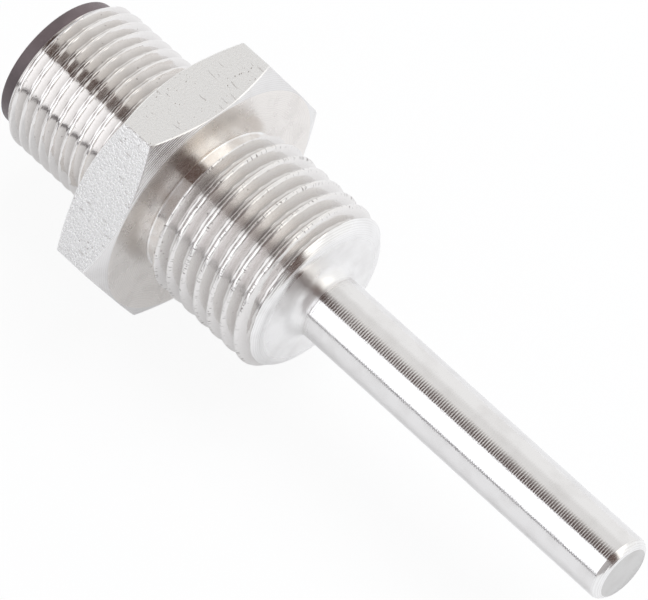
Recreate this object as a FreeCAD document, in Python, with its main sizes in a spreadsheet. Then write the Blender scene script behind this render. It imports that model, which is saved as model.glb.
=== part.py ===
"""Process temperature sensor with an M12 plug, a hexagon, a G1/4 boss and a slender stem.

The axis of the sensor lies along X. The origin is the centre of the sealing shoulder, the face of
the hexagon that meets the process port. The stem points along +X, the plug along -X, and one flat of
the hexagon faces up, along +Z. Lengths are in millimetres.
"""
import FreeCAD, Part
import os

import Sketcher

# Driving dimensions: alias, value, meaning
SIZES = [
    ("across_flats", 18.8, "hexagon across flats, nominal 19"),
    ("hex_length", 4.4, "length of the hexagon along the axis"),
    ("hex_chamfer_inset", 0.1, "hexagon chamfer, inwards from the flats on the end faces"),
    ("hex_chamfer_angle", 30, "slope of the hexagon chamfers from the end face, degrees"),
    ("connector_thread_diameter", 12.0, "M12 thread, major diameter"),
    ("sleeve_length", 10.1, "connector sleeve from its end to the hexagon"),
    ("connector_chamfer", 0.6, "45 degree chamfer at the sleeve end"),
    ("connector_relief_width", 0.9, "thread relief between sleeve and hexagon"),
    ("connector_relief_depth", 0.65, "that relief below the thread crest"),
    ("connector_run_out", 0.35, "slope of that relief along the axis, up to the crest"),
    ("process_thread_diameter", 13.157, "G1/4 thread, major diameter"),
    ("boss_length", 10.9, "process boss from shoulder to end face"),
    ("boss_chamfer", 1.0, "45 degree chamfer at the boss end"),
    ("boss_end_rounding", 1.2, "radius between that chamfer and the end face"),
    ("process_relief_width", 1.0, "thread relief between shoulder and process thread"),
    ("process_relief_depth", 0.88, "that relief below the thread crest"),
    ("process_run_out", 0.45, "slope of that relief along the axis, up to the crest"),
    ("stem_bore_diameter", 3.5, "blind bore of the stem"),
    ("stem_wall", 0.75, "metal round that bore, so the stem is 5 outside"),
    ("insertion_length", 40.0, "shoulder to tip"),
    ("stem_root_fillet", 1.0, "fillet where the stem leaves the boss"),
    ("tip_chamfer", 0.5, "45 degree chamfer at the tip"),
    ("tip_wall", 1.2, "metal between the stem bore and the tip"),
    ("sleeve_wall", 1.1, "connector sleeve, thread crest to bore"),
    ("carrier_clearance", 0.03, "carrier to bore, on the radius"),
    ("liner_wall", 0.57, "carrier wall round the socket"),
    ("rim_lip", 0.38, "rim of the carrier, outwards from the liner over the sleeve end"),
    ("rim_width", 1.0, "rim along the axis"),
    ("rim_chamfer", 0.15, "45 degree chamfer at the front of the rim"),
    ("socket_depth", 8.0, "socket floor from the front of the rim"),
    ("base_thickness", 2.2, "carrier behind the socket floor"),
    ("key_width", 1.3, "coding key in the socket"),
    ("key_height", 0.6, "coding key, inwards from the socket wall"),
    ("key_root", 0.25, "coding key, outwards into the socket wall"),
    ("key_setback", 0.8, "coding key behind the front of the rim"),
    ("pin_margin", 0.3, "contact pin to socket wall, so the pin circle is 7"),
    ("pin_diameter", 1.0, "contact pin"),
    ("pin_reach", 6.6, "contact pin above the socket floor"),
    ("pin_nose_length", 0.45, "tapered nose of the contact pin"),
    ("pin_nose_diameter", 0.5, "front of that nose"),
    ("pin_clearance", 0.02, "contact pin to carrier, on the radius"),
    ("pin_tail", 1.0, "contact pin behind the carrier"),
    ("shrink_wall", 0.2, "wall of a heat-shrink sleeve"),
    ("shrink_clearance", 0.02, "heat-shrink sleeve to pin, on the radius"),
    ("shrink_cover", 0.5, "heat-shrink sleeve past the end of the pin"),
    ("potting_depth", 1.2, "resin behind the carrier"),
    ("wire_diameter", 0.6, "insulated lead wire"),
    ("wire_circle_diameter", 1.3, "circle of the four lead wires in the stem"),
    ("wire_straight", 0.2, "straight wire between its sleeve and its first bend"),
    ("wire_slope", 50, "slant of a lead wire towards the axis, degrees"),
    ("floor_margin", 0.3, "connector bore past the last bend of the wires"),
    ("splice_length", 2.5, "splice along the axis"),
    ("splice_height", 0.5, "splice across the plane of its wires"),
    ("leg_diameter", 0.2, "wire leg of the chip"),
    ("leg_length", 3.0, "wire leg between chip and splice"),
    ("chip_length", 2.3, "platinum chip along the axis"),
    ("chip_width", 2.0, "platinum chip across the legs"),
    ("chip_thickness", 0.5, "ceramic substrate"),
    ("chip_setback", 0.3, "chip behind the floor of the stem bore"),
    ("glaze_length", 1.0, "glass drop over the leg welds"),
    ("glaze_width", 1.7, "glass drop across the legs"),
    ("glaze_thickness", 0.45, "glass drop above the substrate"),
    ("tube_clearance", 0.05, "insulating sleeve to stem bore, on the radius"),
    ("tube_wall", 0.25, "insulating sleeve, wall"),
    ("tube_front", 1.4, "insulating sleeve in front of the splices"),
    ("tube_rear", 3.6, "insulating sleeve behind the splices"),
]

CONTACTS = 4
TURN = 360 / CONTACTS

doc = FreeCAD.newDocument("process_temperature_sensor")
sheet = doc.addObject("Spreadsheet::Sheet", "Sizes")
for row, (alias, amount, meaning) in enumerate(SIZES, start=1):
    sheet.set("A%d" % row, meaning)
    sheet.set("B%d" % row, str(amount))
    sheet.setAlias("B%d" % row, alias)
doc.recompute()

# Places along the axis, as expressions of the driving dimensions
SHOULDER = "0"
HEX_BACK = "-Sizes.hex_length"
SLEEVE_END = "-Sizes.hex_length - Sizes.sleeve_length"
RIM_FRONT = SLEEVE_END + " - Sizes.rim_width"
SOCKET_FLOOR = RIM_FRONT + " + Sizes.socket_depth"
CARRIER_REAR = SOCKET_FLOOR + " + Sizes.base_thickness"
TAIL_END = CARRIER_REAR + " + Sizes.pin_tail"
SHRINK_END = TAIL_END + " + Sizes.shrink_cover"
POTTING_END = CARRIER_REAR + " + Sizes.potting_depth"
BOSS_END = "Sizes.boss_length"
TIP = "Sizes.insertion_length"

# Radii, as expressions of the driving dimensions
SLEEVE_RADIUS = "Sizes.connector_thread_diameter / 2"
BOSS_RADIUS = "Sizes.process_thread_diameter / 2"
STEM_BORE = "Sizes.stem_bore_diameter / 2"
STEM_RADIUS = STEM_BORE + " + Sizes.stem_wall"
CONNECTOR_BORE = SLEEVE_RADIUS + " - Sizes.sleeve_wall"
CARRIER_RADIUS = CONNECTOR_BORE + " - Sizes.carrier_clearance"
SOCKET_RADIUS = CARRIER_RADIUS + " - Sizes.liner_wall"
PIN_RADIUS = "Sizes.pin_diameter / 2"
PIN_CIRCLE = "(" + SOCKET_RADIUS + " - Sizes.pin_margin - " + PIN_RADIUS + ")"
SHRINK_BORE = PIN_RADIUS + " + Sizes.shrink_clearance"
SHRINK_RADIUS = SHRINK_BORE + " + Sizes.shrink_wall"
LEG_RADIUS = "Sizes.leg_diameter / 2"
WIRE_RADIUS = "Sizes.wire_diameter / 2"
WIRE_CIRCLE = "Sizes.wire_circle_diameter / 2"
TUBE_RADIUS = STEM_BORE + " - Sizes.tube_clearance"
TUBE_BORE = TUBE_RADIUS + " - Sizes.tube_wall"

# The legs lie midway between two neighbouring wires, so this far from the axis
LEG_OFFSET = WIRE_CIRCLE + " * cos(%g deg)" % (TURN / 2)

# The wires slant in from the pin circle, and the connector bore ends just past their last bend
WIRE_TURN = SHRINK_END + " + Sizes.wire_straight"
WIRE_INWARDS = "(" + PIN_CIRCLE + " - " + WIRE_CIRCLE + ")"
WIRE_TURN_END = WIRE_TURN + " + " + WIRE_INWARDS + " / tan(Sizes.wire_slope * 1 deg)"
BORE_FLOOR = WIRE_TURN_END + " + Sizes.floor_margin"

# Places along the stem, from the tip back
BORE_END = TIP + " - Sizes.tip_wall"
CHIP_FRONT = BORE_END + " - Sizes.chip_setback"
CHIP_REAR = CHIP_FRONT + " - Sizes.chip_length"
SPLICE_FRONT = CHIP_REAR + " - Sizes.leg_length"
SPLICE_REAR = SPLICE_FRONT + " - Sizes.splice_length"
TUBE_FRONT = SPLICE_FRONT + " + Sizes.tube_front"
TUBE_REAR = SPLICE_REAR + " - Sizes.tube_rear"


def value(expression):
    """Number that an expression of the driving dimensions stands for."""
    return float(sheet.evalExpression(expression))


def minus(expression):
    """Expression with its sign changed."""
    return "-(" + expression + ")"


def new_body(label):
    """Empty body with the name of its node."""
    body = doc.addObject("PartDesign::Body", label)
    body.Label = label
    return body


def origin_item(body, role):
    """Plane or axis of the body's own origin."""
    return [item for item in body.Origin.OriginFeatures if item.Role == role][0]


def new_sketch(body, name, role, distance=None, turn=0):
    """Sketch on an origin plane, moved along its normal by an expression and turned about it."""
    sketch = body.newObject("Sketcher::SketchObject", name)
    sketch.AttachmentSupport = [(origin_item(body, role), "")]
    sketch.MapMode = "FlatFace"
    sketch.AttachmentOffset = FreeCAD.Placement(
        FreeCAD.Vector(), FreeCAD.Rotation(FreeCAD.Vector(0, 0, 1), turn)
    )
    if distance is not None:
        sketch.setExpression("AttachmentOffset.Base.z", distance)
    return sketch


def constrain(sketch, kind, geometry, point, expression):
    """Distance of a sketch point from the sketch origin along one axis, bound to an expression."""
    number = sketch.addConstraint(
        Sketcher.Constraint(kind, -1, 1, geometry, point, value(expression))
    )
    sketch.setExpression("Constraints[%d]" % number, expression)


def add_outline(sketch, points):
    """Closed outline of straight edges through points given as pairs of expressions."""
    corners = [FreeCAD.Vector(value(across), value(up), 0) for across, up in points]
    first = sketch.GeometryCount
    count = len(corners)
    for index, corner in enumerate(corners):
        sketch.addGeometry(Part.LineSegment(corner, corners[(index + 1) % count]), False)
    for index, (across, up) in enumerate(points):
        following = first + (index + 1) % count
        sketch.addConstraint(Sketcher.Constraint("Coincident", first + index, 2, following, 1))
        constrain(sketch, "DistanceX", first + index, 1, across)
        constrain(sketch, "DistanceY", first + index, 1, up)


def add_circle(sketch, across, up, radius):
    """Circle with its centre and radius bound to expressions."""
    centre = FreeCAD.Vector(value(across), value(up), 0)
    number = sketch.addGeometry(
        Part.Circle(centre, FreeCAD.Vector(0, 0, 1), value(radius)), False
    )
    constrain(sketch, "DistanceX", number, 3, across)
    constrain(sketch, "DistanceY", number, 3, up)
    constraint = sketch.addConstraint(Sketcher.Constraint("Radius", number, value(radius)))
    sketch.setExpression("Constraints[%d]" % constraint, radius)


def add_route(sketch, stations):
    """Open route of straight runs through stations given as pairs of expressions."""
    corners = [FreeCAD.Vector(value(along), value(out), 0) for along, out in stations]
    for start, end in zip(corners, corners[1:]):
        sketch.addGeometry(Part.LineSegment(start, end), False)
    last = sketch.GeometryCount - 1
    for run in range(last):
        sketch.addConstraint(Sketcher.Constraint("Coincident", run, 2, run + 1, 1))
    for run, (along, out) in enumerate(stations[:-1]):
        constrain(sketch, "DistanceX", run, 1, along)
        constrain(sketch, "DistanceY", run, 1, out)
    constrain(sketch, "DistanceX", last, 2, stations[-1][0])
    constrain(sketch, "DistanceY", last, 2, stations[-1][1])


def turned(body, name, points, cut=False):
    """Solid of revolution about the X axis, added to the body or cut from it."""
    sketch = new_sketch(body, name + "_outline", "XZ_Plane")
    add_outline(sketch, points)
    kind = "PartDesign::Groove" if cut else "PartDesign::Revolution"
    feature = body.newObject(kind, name)
    feature.Profile = sketch
    feature.ReferenceAxis = (sketch, ["H_Axis"])
    feature.Angle = 360
    doc.recompute()
    return feature


def padded(body, name, sketch, length, cut=False, towards_plug=False):
    """Sketch pushed along the axis, added to the body or cut from it."""
    kind = "PartDesign::Pocket" if cut else "PartDesign::Pad"
    feature = body.newObject(kind, name)
    feature.Profile = sketch
    feature.setExpression("Length", length)
    # A pocket cuts against its sketch's normal, a pad grows along it
    feature.Reversed = towards_plug != cut
    doc.recompute()
    return feature


def rounded(body, name, feature, place, radius, amount):
    """Fillet on the circular edge that lies at a place along the axis with a given radius."""
    found = []
    for number, edge in enumerate(feature.Shape.Edges, start=1):
        if not isinstance(edge.Curve, Part.Circle):
            continue
        at_place = abs(edge.Curve.Center.x - value(place)) < 1e-6
        if at_place and abs(edge.Curve.Radius - value(radius)) < 1e-6:
            found.append("Edge%d" % number)
    fillet = body.newObject("PartDesign::Fillet", name)
    fillet.Base = (feature, found)
    fillet.setExpression("Radius", amount)
    doc.recompute()
    return fillet


def turn_about_axis(item, angle):
    """Turn a finished piece about the axis of the sensor."""
    item.Placement = FreeCAD.Placement(
        FreeCAD.Vector(), FreeCAD.Rotation(FreeCAD.Vector(1, 0, 0), angle)
    )


def around(body, name, features):
    """Repeat features once for each contact about the axis of the sensor."""
    pattern = body.newObject("PartDesign::PolarPattern", name)
    pattern.Originals = features
    pattern.Axis = (origin_item(body, "X_Axis"), [""])
    pattern.Angle = 360
    pattern.Occurrences = CONTACTS
    body.Tip = pattern
    doc.recompute()


def move_to_pin(item, angle):
    """Move a piece turned about the X axis out to the pin circle."""
    item.Placement = FreeCAD.Placement(
        FreeCAD.Vector(0, 1, 1), FreeCAD.Rotation(FreeCAD.Vector(1, 0, 0), angle)
    )
    item.setExpression("Placement.Base.y", "-%s * sin(%g deg)" % (PIN_CIRCLE, angle))
    item.setExpression("Placement.Base.z", "%s * cos(%g deg)" % (PIN_CIRCLE, angle))


def make_sensor_body():
    """Turned body: connector sleeve, hexagon, process boss and stem, with its stepped blind bore."""
    body = new_body("sensor_body")
    connector_relief = SLEEVE_RADIUS + " - Sizes.connector_relief_depth"
    process_relief = BOSS_RADIUS + " - Sizes.process_relief_depth"
    relief_start = HEX_BACK + " - Sizes.connector_relief_width"
    relief_end = "Sizes.process_relief_width"
    boss_face = BOSS_RADIUS + " - Sizes.boss_chamfer"
    core = turned(body, "turned_core", [
        (SLEEVE_END, "0"),
        (SLEEVE_END, SLEEVE_RADIUS + " - Sizes.connector_chamfer"),
        (SLEEVE_END + " + Sizes.connector_chamfer", SLEEVE_RADIUS),
        (relief_start + " - Sizes.connector_run_out", SLEEVE_RADIUS),
        (relief_start, connector_relief),
        (HEX_BACK, connector_relief),
        (SHOULDER, process_relief),
        (relief_end, process_relief),
        (relief_end + " + Sizes.process_run_out", BOSS_RADIUS),
        (BOSS_END + " - Sizes.boss_chamfer", BOSS_RADIUS),
        (BOSS_END, boss_face),
        (BOSS_END, STEM_RADIUS),
        (TIP + " - Sizes.tip_chamfer", STEM_RADIUS),
        (TIP, STEM_RADIUS + " - Sizes.tip_chamfer"),
        (TIP, "0"),
    ])
    root = rounded(body, "stem_root", core, BOSS_END, STEM_RADIUS, "Sizes.stem_root_fillet")
    rounded(body, "boss_end", root, BOSS_END, boss_face, "Sizes.boss_end_rounding")

    corner = "Sizes.across_flats / sqrt(3)"
    half_flat = "Sizes.across_flats / 2"
    hexagon = new_sketch(body, "hexagon_outline", "YZ_Plane")
    add_outline(hexagon, [
        (corner, "0"),
        (corner + " / 2", half_flat),
        (minus(corner + " / 2"), half_flat),
        (minus(corner), "0"),
        (minus(corner + " / 2"), minus(half_flat)),
        (corner + " / 2", minus(half_flat)),
    ])
    padded(body, "hexagon", hexagon, "Sizes.hex_length", towards_plug=True)

    # Each chamfer is a cone that reaches out past the corners of the hexagon
    chamfer_inner = half_flat + " - Sizes.hex_chamfer_inset"
    chamfer_outer = "Sizes.across_flats"
    drop = "(%s - (%s)) * tan(Sizes.hex_chamfer_angle * 1 deg)" % (chamfer_outer, chamfer_inner)
    turned(body, "front_chamfer", [
        (SHOULDER, chamfer_inner),
        (SHOULDER, chamfer_outer),
        (minus(drop), chamfer_outer),
    ], cut=True)
    turned(body, "back_chamfer", [
        (HEX_BACK, chamfer_inner),
        (HEX_BACK, chamfer_outer),
        (HEX_BACK + " + " + drop, chamfer_outer),
    ], cut=True)

    turned(body, "stepped_bore", [
        (SLEEVE_END, "0"),
        (SLEEVE_END, CONNECTOR_BORE),
        (BORE_FLOOR, CONNECTOR_BORE),
        (BORE_FLOOR, STEM_BORE),
        (BORE_END, STEM_BORE),
        (BORE_END, "0"),
    ], cut=True)
    return body


def make_contact_carrier():
    """Moulded insert of the plug: rim, socket, coding key and the base that holds the pins."""
    body = new_body("contact_carrier")
    rim_radius = CARRIER_RADIUS + " + Sizes.rim_lip"
    turned(body, "moulding", [
        (RIM_FRONT, SOCKET_RADIUS),
        (RIM_FRONT, rim_radius + " - Sizes.rim_chamfer"),
        (RIM_FRONT + " + Sizes.rim_chamfer", rim_radius),
        (SLEEVE_END, rim_radius),
        (SLEEVE_END, CARRIER_RADIUS),
        (CARRIER_REAR, CARRIER_RADIUS),
        (CARRIER_REAR, "0"),
        (SOCKET_FLOOR, "0"),
        (SOCKET_FLOOR, SOCKET_RADIUS),
    ])

    key_front = RIM_FRONT + " + Sizes.key_setback"
    key = new_sketch(body, "key_outline", "YZ_Plane", key_front, -TURN / 2)
    half_key = "Sizes.key_width / 2"
    key_top = SOCKET_RADIUS + " - Sizes.key_height"
    key_foot = SOCKET_RADIUS + " + Sizes.key_root"
    add_outline(key, [
        (minus(half_key), key_top),
        (half_key, key_top),
        (half_key, key_foot),
        (minus(half_key), key_foot),
    ])
    padded(body, "coding_key", key, "Sizes.socket_depth - Sizes.key_setback")

    hole = new_sketch(body, "pin_hole_outline", "YZ_Plane", CARRIER_REAR)
    add_circle(hole, "0", PIN_CIRCLE, PIN_RADIUS + " + Sizes.pin_clearance")
    pin_hole = padded(body, "pin_hole", hole, "Sizes.base_thickness", cut=True, towards_plug=True)
    around(body, "pin_holes", [pin_hole])
    return body


def make_contact_pin(number, angle):
    """Contact pin with a tapered nose, and a tail behind the carrier for its wire."""
    body = new_body("contact_pin_%d" % number)
    pin_front = SOCKET_FLOOR + " - Sizes.pin_reach"
    turned(body, "turned_pin", [
        (pin_front, "0"),
        (pin_front, "Sizes.pin_nose_diameter / 2"),
        (pin_front + " + Sizes.pin_nose_length", PIN_RADIUS),
        (TAIL_END, PIN_RADIUS),
        (TAIL_END, "0"),
    ])
    move_to_pin(body, angle)
    return body


def make_pin_sleeve(number, angle):
    """Heat-shrink sleeve over the joint of a pin and its wire."""
    body = new_body("pin_sleeve_%d" % number)
    turned(body, "tube", [
        (CARRIER_REAR, SHRINK_BORE),
        (CARRIER_REAR, SHRINK_RADIUS),
        (SHRINK_END, SHRINK_RADIUS),
        (SHRINK_END, SHRINK_BORE),
    ])
    move_to_pin(body, angle)
    return body


def make_lead_wire(number, angle):
    """Insulated lead that leaves its pin, slants in to the axis and runs down the stem."""
    body = new_body("lead_wire_%d" % number)
    path = new_sketch(body, "route", "XZ_Plane")
    add_route(path, [
        (TAIL_END, PIN_CIRCLE),
        (WIRE_TURN, PIN_CIRCLE),
        (WIRE_TURN_END, WIRE_CIRCLE),
        (SPLICE_REAR, WIRE_CIRCLE),
    ])
    section = new_sketch(body, "wire_section", "YZ_Plane", TAIL_END)
    add_circle(section, "0", PIN_CIRCLE, WIRE_RADIUS)
    doc.recompute()
    wire = body.newObject("PartDesign::AdditivePipe", "insulation")
    wire.Profile = section
    wire.Spine = (path, [])
    wire.Transition = "Right corner"
    doc.recompute()
    turn_about_axis(body, angle)
    return body


def make_splice(number, angle):
    """Soldered splice that joins one chip leg to two wires."""
    body = new_body("splice_%d" % number)
    section = new_sketch(body, "splice_outline", "YZ_Plane", SPLICE_REAR)
    half_height = "Sizes.splice_height / 2"
    half_width = WIRE_CIRCLE + " * sin(%g deg) + " % (TURN / 2) + half_height
    bottom = LEG_OFFSET + " - " + half_height
    top = LEG_OFFSET + " + " + half_height
    add_outline(section, [
        (minus(half_width), bottom),
        (half_width, bottom),
        (half_width, top),
        (minus(half_width), top),
    ])
    padded(body, "solder", section, "Sizes.splice_length")
    turn_about_axis(body, angle)
    return body


def make_chip_lead(number, angle):
    """Straight wire leg from the chip to its splice."""
    body = new_body("chip_lead_%d" % number)
    section = new_sketch(body, "leg_section", "YZ_Plane", CHIP_REAR)
    add_circle(section, "0", LEG_OFFSET, LEG_RADIUS)
    padded(body, "leg", section, "Sizes.leg_length", towards_plug=True)
    turn_about_axis(body, angle)
    return body


def add_chip_outlines(body):
    """Sketches of the chip's ceramic substrate and of the glass drop on it, seen from the tip."""
    surface = minus(LEG_RADIUS)
    underside = surface + " - Sizes.chip_thickness"
    drop_top = surface + " + Sizes.glaze_thickness"
    sketches = []
    for name, low, high, width in (
        ("substrate_outline", underside, surface, "Sizes.chip_width"),
        ("glass_drop_outline", surface, drop_top, "Sizes.glaze_width"),
    ):
        sketch = new_sketch(body, name, "YZ_Plane", CHIP_REAR, -TURN / 2)
        half_width = width + " / 2"
        add_outline(sketch, [
            (low, minus(half_width)),
            (high, minus(half_width)),
            (high, half_width),
            (low, half_width),
        ])
        sketches.append(sketch)
    return sketches


def make_rtd_chip():
    """Thin-film platinum chip: ceramic substrate with a glass drop over the leg welds."""
    body = new_body("rtd_chip")
    substrate, drop = add_chip_outlines(body)
    padded(body, "substrate", substrate, "Sizes.chip_length")
    padded(body, "glass_drop", drop, "Sizes.glaze_length")
    return body


def make_insulating_sleeve():
    """Thin tube round the splices."""
    body = new_body("insulating_sleeve")
    turned(body, "tube", [
        (TUBE_REAR, TUBE_BORE),
        (TUBE_REAR, TUBE_RADIUS),
        (TUBE_FRONT, TUBE_RADIUS),
        (TUBE_FRONT, TUBE_BORE),
    ])
    return body


def make_thermal_compound():
    """Heat-conducting plug that seats the chip in the tip."""
    body = new_body("thermal_compound")
    turned(body, "plug", [
        (CHIP_REAR, "0"),
        (CHIP_REAR, STEM_BORE),
        (BORE_END, STEM_BORE),
        (BORE_END, "0"),
    ])
    substrate, drop = add_chip_outlines(body)
    padded(body, "substrate_seat", substrate, "Sizes.chip_length", cut=True)
    padded(body, "glass_drop_seat", drop, "Sizes.glaze_length", cut=True)
    return body


def make_potting_compound():
    """Resin disc that closes the connector bore round the sleeves, behind the carrier."""
    body = new_body("potting_compound")
    turned(body, "disc", [
        (CARRIER_REAR, "0"),
        (CARRIER_REAR, CONNECTOR_BORE),
        (POTTING_END, CONNECTOR_BORE),
        (POTTING_END, "0"),
    ])
    hole = new_sketch(body, "sleeve_hole_outline", "YZ_Plane", CARRIER_REAR)
    add_circle(hole, "0", PIN_CIRCLE, SHRINK_RADIUS)
    sleeve_hole = padded(body, "sleeve_hole", hole, "Sizes.potting_depth", cut=True)
    around(body, "sleeve_holes", [sleeve_hole])
    return body


def make_all():
    """Every piece of the sensor."""
    contacts = [(number, -TURN * (number - 1)) for number in range(1, CONTACTS + 1)]
    legs = [(1, -TURN / 2), (2, 180 - TURN / 2)]
    pieces = [make_sensor_body(), make_contact_carrier()]
    for make in (make_contact_pin, make_pin_sleeve, make_lead_wire):
        pieces.extend(make(number, angle) for number, angle in contacts)
    for make in (make_splice, make_chip_lead):
        pieces.extend(make(number, angle) for number, angle in legs)
    pieces.extend([make_rtd_chip(), make_thermal_compound()])
    pieces.extend([make_insulating_sleeve(), make_potting_compound()])
    return pieces


def check(pieces):
    """Stop if any object of the document failed or any piece has no valid solid."""
    for item in doc.Objects:
        if "Invalid" in item.State or "Error" in item.State:
            raise RuntimeError("%s did not build: %s" % (item.Label, item.State))
    for piece in pieces:
        if piece.Shape.isNull() or not piece.Shape.isValid() or not piece.Shape.Solids:
            raise RuntimeError("%s has no valid solid" % piece.Label)


def main():
    """Build, check and write every piece."""
    pieces = make_all()
    doc.recompute()
    check(pieces)
    os.makedirs("parts", exist_ok=True)
    for piece in pieces:
        piece.Shape.exportStep("parts/%s.step" % piece.Label)
        print("%-20s %10.3f mm3" % (piece.Label, piece.Shape.Volume))


main()
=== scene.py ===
"""Process temperature sensor: threaded stainless body, plug insert, contact pins and studio.

The axis of the sensor lies along X, the stem points along +X and one flat of the hexagon faces up.
Lengths are in metres.
"""
import math

import bmesh
import bpy
import numpy as np
from mathutils import Matrix, Vector


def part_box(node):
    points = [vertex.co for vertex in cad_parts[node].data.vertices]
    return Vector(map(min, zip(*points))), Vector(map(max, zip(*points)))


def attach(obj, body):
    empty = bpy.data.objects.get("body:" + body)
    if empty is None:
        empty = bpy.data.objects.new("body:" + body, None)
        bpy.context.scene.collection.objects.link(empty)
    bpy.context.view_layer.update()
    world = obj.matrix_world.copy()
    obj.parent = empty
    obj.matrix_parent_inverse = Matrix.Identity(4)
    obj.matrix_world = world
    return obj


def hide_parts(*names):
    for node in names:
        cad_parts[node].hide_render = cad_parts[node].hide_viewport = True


bl_info = {
    "name": "Process temperature sensor",
    "version": (1, 0, 0),
    "blender": (4, 5, 0),
    "location": "3D View > Sidebar > Sensor",
    "description": "Builds the looks of a screw-in temperature sensor on its solid model",
    "category": "Object",
}

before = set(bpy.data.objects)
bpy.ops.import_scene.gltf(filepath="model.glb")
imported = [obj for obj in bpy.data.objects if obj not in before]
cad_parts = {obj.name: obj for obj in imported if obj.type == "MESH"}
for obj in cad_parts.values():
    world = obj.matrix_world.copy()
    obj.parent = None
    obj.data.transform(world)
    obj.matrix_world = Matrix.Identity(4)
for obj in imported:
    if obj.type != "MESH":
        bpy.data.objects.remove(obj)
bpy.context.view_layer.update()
MM = 0.001
TURN = 2 * math.pi
FLOOR_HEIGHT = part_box("sensor_body")[0][2]
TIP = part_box("sensor_body")[1][0]
SLEEVE_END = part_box("sensor_body")[0][0]
RIM_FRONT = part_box("contact_carrier")[0][0]
CARRIER_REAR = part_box("contact_carrier")[1][0]
PIN_NAMES = ["contact_pin_%d" % index for index in range(1, 5)]
TURNED, SLEEVE_THREAD, BOSS_THREAD, DRAWN, SHOULDER, FACED, CHAMFERED, NECK, TIP_FACE, BOSS_EDGE = range(10)
ROWS_PER_SLEEVE_TURN = 24
ROWS_PER_BOSS_TURN = 28
WHITE = (1.0, 1.0, 1.0)

# Stage: the floor's front edge, the card overhead, the axes of cards, the dark core and the glare beside it.
FLOOR_EDGE = -0.13
CARD_NEAR, CARD_FAR, CARD_HEIGHT = -0.375, 0.6, 0.6
ALONG, ACROSS = 0, 1
DARK_CORE = (0.12, 0.08, 0.069)
GLARE = (1.4, 1.375, 1.33)

# Finishes of the sealed parts: name, two tones, roughness, patches per metre, metal.
SEALED = {
    "pin_sleeve": ("shrink_tube", (0.03, 0.03, 0.032), (0.05, 0.05, 0.052), 0.4, 700.0, 0.0),
    "red": ("red_insulation", (0.55, 0.04, 0.03), (0.62, 0.07, 0.05), 0.3, 500.0, 0.0),
    "white": ("white_insulation", (0.82, 0.81, 0.77), (0.74, 0.73, 0.69), 0.3, 500.0, 0.0),
    "splice": ("solder", (0.7, 0.69, 0.67), (0.58, 0.57, 0.56), 0.25, 900.0, 1.0),
    "chip_lead": ("leg_wire", (0.72, 0.71, 0.68), (0.62, 0.6, 0.58), 0.22, 1500.0, 1.0),
    "rtd_chip": ("chip_ceramic", (0.86, 0.85, 0.81), (0.78, 0.77, 0.74), 0.45, 800.0, 0.0),
    "insulating_sleeve": ("polyimide", (0.58, 0.25, 0.04), (0.66, 0.33, 0.07), 0.2, 300.0, 0.0),
    "thermal_compound": ("compound", (0.8, 0.8, 0.77), (0.7, 0.7, 0.68), 0.5, 900.0, 0.0),
    "potting_compound": ("resin", (0.04, 0.04, 0.045), (0.07, 0.07, 0.075), 0.2, 500.0, 0.0),
}


def number(name, description, default, **settings):
    """Plain number property."""
    return bpy.props.FloatProperty(name=name, description=description, default=default, **settings)


def length(name, description, default):
    """Length property in metres."""
    return number(name, description, default, unit="LENGTH", precision=5)


def ratio(name, description, default):
    """Property for a part of a whole."""
    return number(name, description, default, min=0, max=1, subtype="FACTOR")


def vector(name, description, default, **settings):
    """Property of three numbers."""
    return bpy.props.FloatVectorProperty(name=name, description=description, default=default, **settings)


def colour(name, description, default):
    """Linear colour property."""
    return vector(name, description, default, subtype="COLOR", min=0, max=1)


def direction(name, description, default):
    """Direction property."""
    return vector(name, description, default, subtype="DIRECTION")


class SensorBodySizes(bpy.types.PropertyGroup):
    """Sizes of the turned body."""

    across_flats: length("Across flats", "Hexagon across flats", 18.8 * MM)
    hex_length: length("Hexagon length", "Hexagon along the axis", 4.4 * MM)
    hex_inset: length("Chamfer inset", "Hexagon chamfer inwards from the flats", 0.1 * MM)
    hex_slope: number(
        "Chamfer slope", "Slope of the hexagon chamfers from the end face", math.radians(30), subtype="ANGLE"
    )
    edge: length("Edge break", "Broken edges of the body", 0.06 * MM)
    sleeve_radius: length("Sleeve radius", "Crest radius of the connector thread", 6.0 * MM)
    sleeve_chamfer: length("Sleeve chamfer", "Chamfer at the sleeve end", 0.6 * MM)
    sleeve_bore: length("Sleeve bore", "Bore radius of the connector sleeve", 4.9 * MM)
    sleeve_bore_floor: length("Bore floor", "Floor of the connector bore", -0.92 * MM)
    sleeve_relief: length("Sleeve relief", "Width of the relief behind the sleeve thread", 0.9 * MM)
    sleeve_relief_depth: length("Relief depth", "That relief below the crest", 0.65 * MM)
    sleeve_relief_run: length("Relief run", "Run of that relief up to the crest", 0.35 * MM)
    boss_radius: length("Boss radius", "Crest radius of the process thread", 6.5785 * MM)
    boss_length: length("Boss length", "Shoulder to the end face of the boss", 10.9 * MM)
    boss_chamfer: length("Boss chamfer", "Chamfer at the boss end", 1.0 * MM)
    boss_round: length("Boss rounding", "Rounding from the boss chamfer to its end face", 1.2 * MM)
    boss_relief: length("Boss relief", "Width of the relief at the shoulder", 1.0 * MM)
    boss_relief_depth: length("Boss relief depth", "That relief below the crest", 0.88 * MM)
    boss_relief_run: length("Boss relief run", "Run of that relief up to the crest", 0.25 * MM)
    neck_fillet: length("Neck fillet", "Fillet between the shoulder and that relief", 0.18 * MM)
    stem_radius: length("Stem radius", "Outside radius of the stem", 2.5 * MM)
    stem_bore: length("Stem bore", "Bore radius of the stem", 1.75 * MM)
    root_fillet: length("Root fillet", "Fillet where the stem leaves the boss", 1.0 * MM)
    tip_round: length("Tip edge", "Broken edge of the tip", 0.5 * MM)
    tip_wall: length("Tip wall", "Metal between stem bore and tip", 1.2 * MM)


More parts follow.
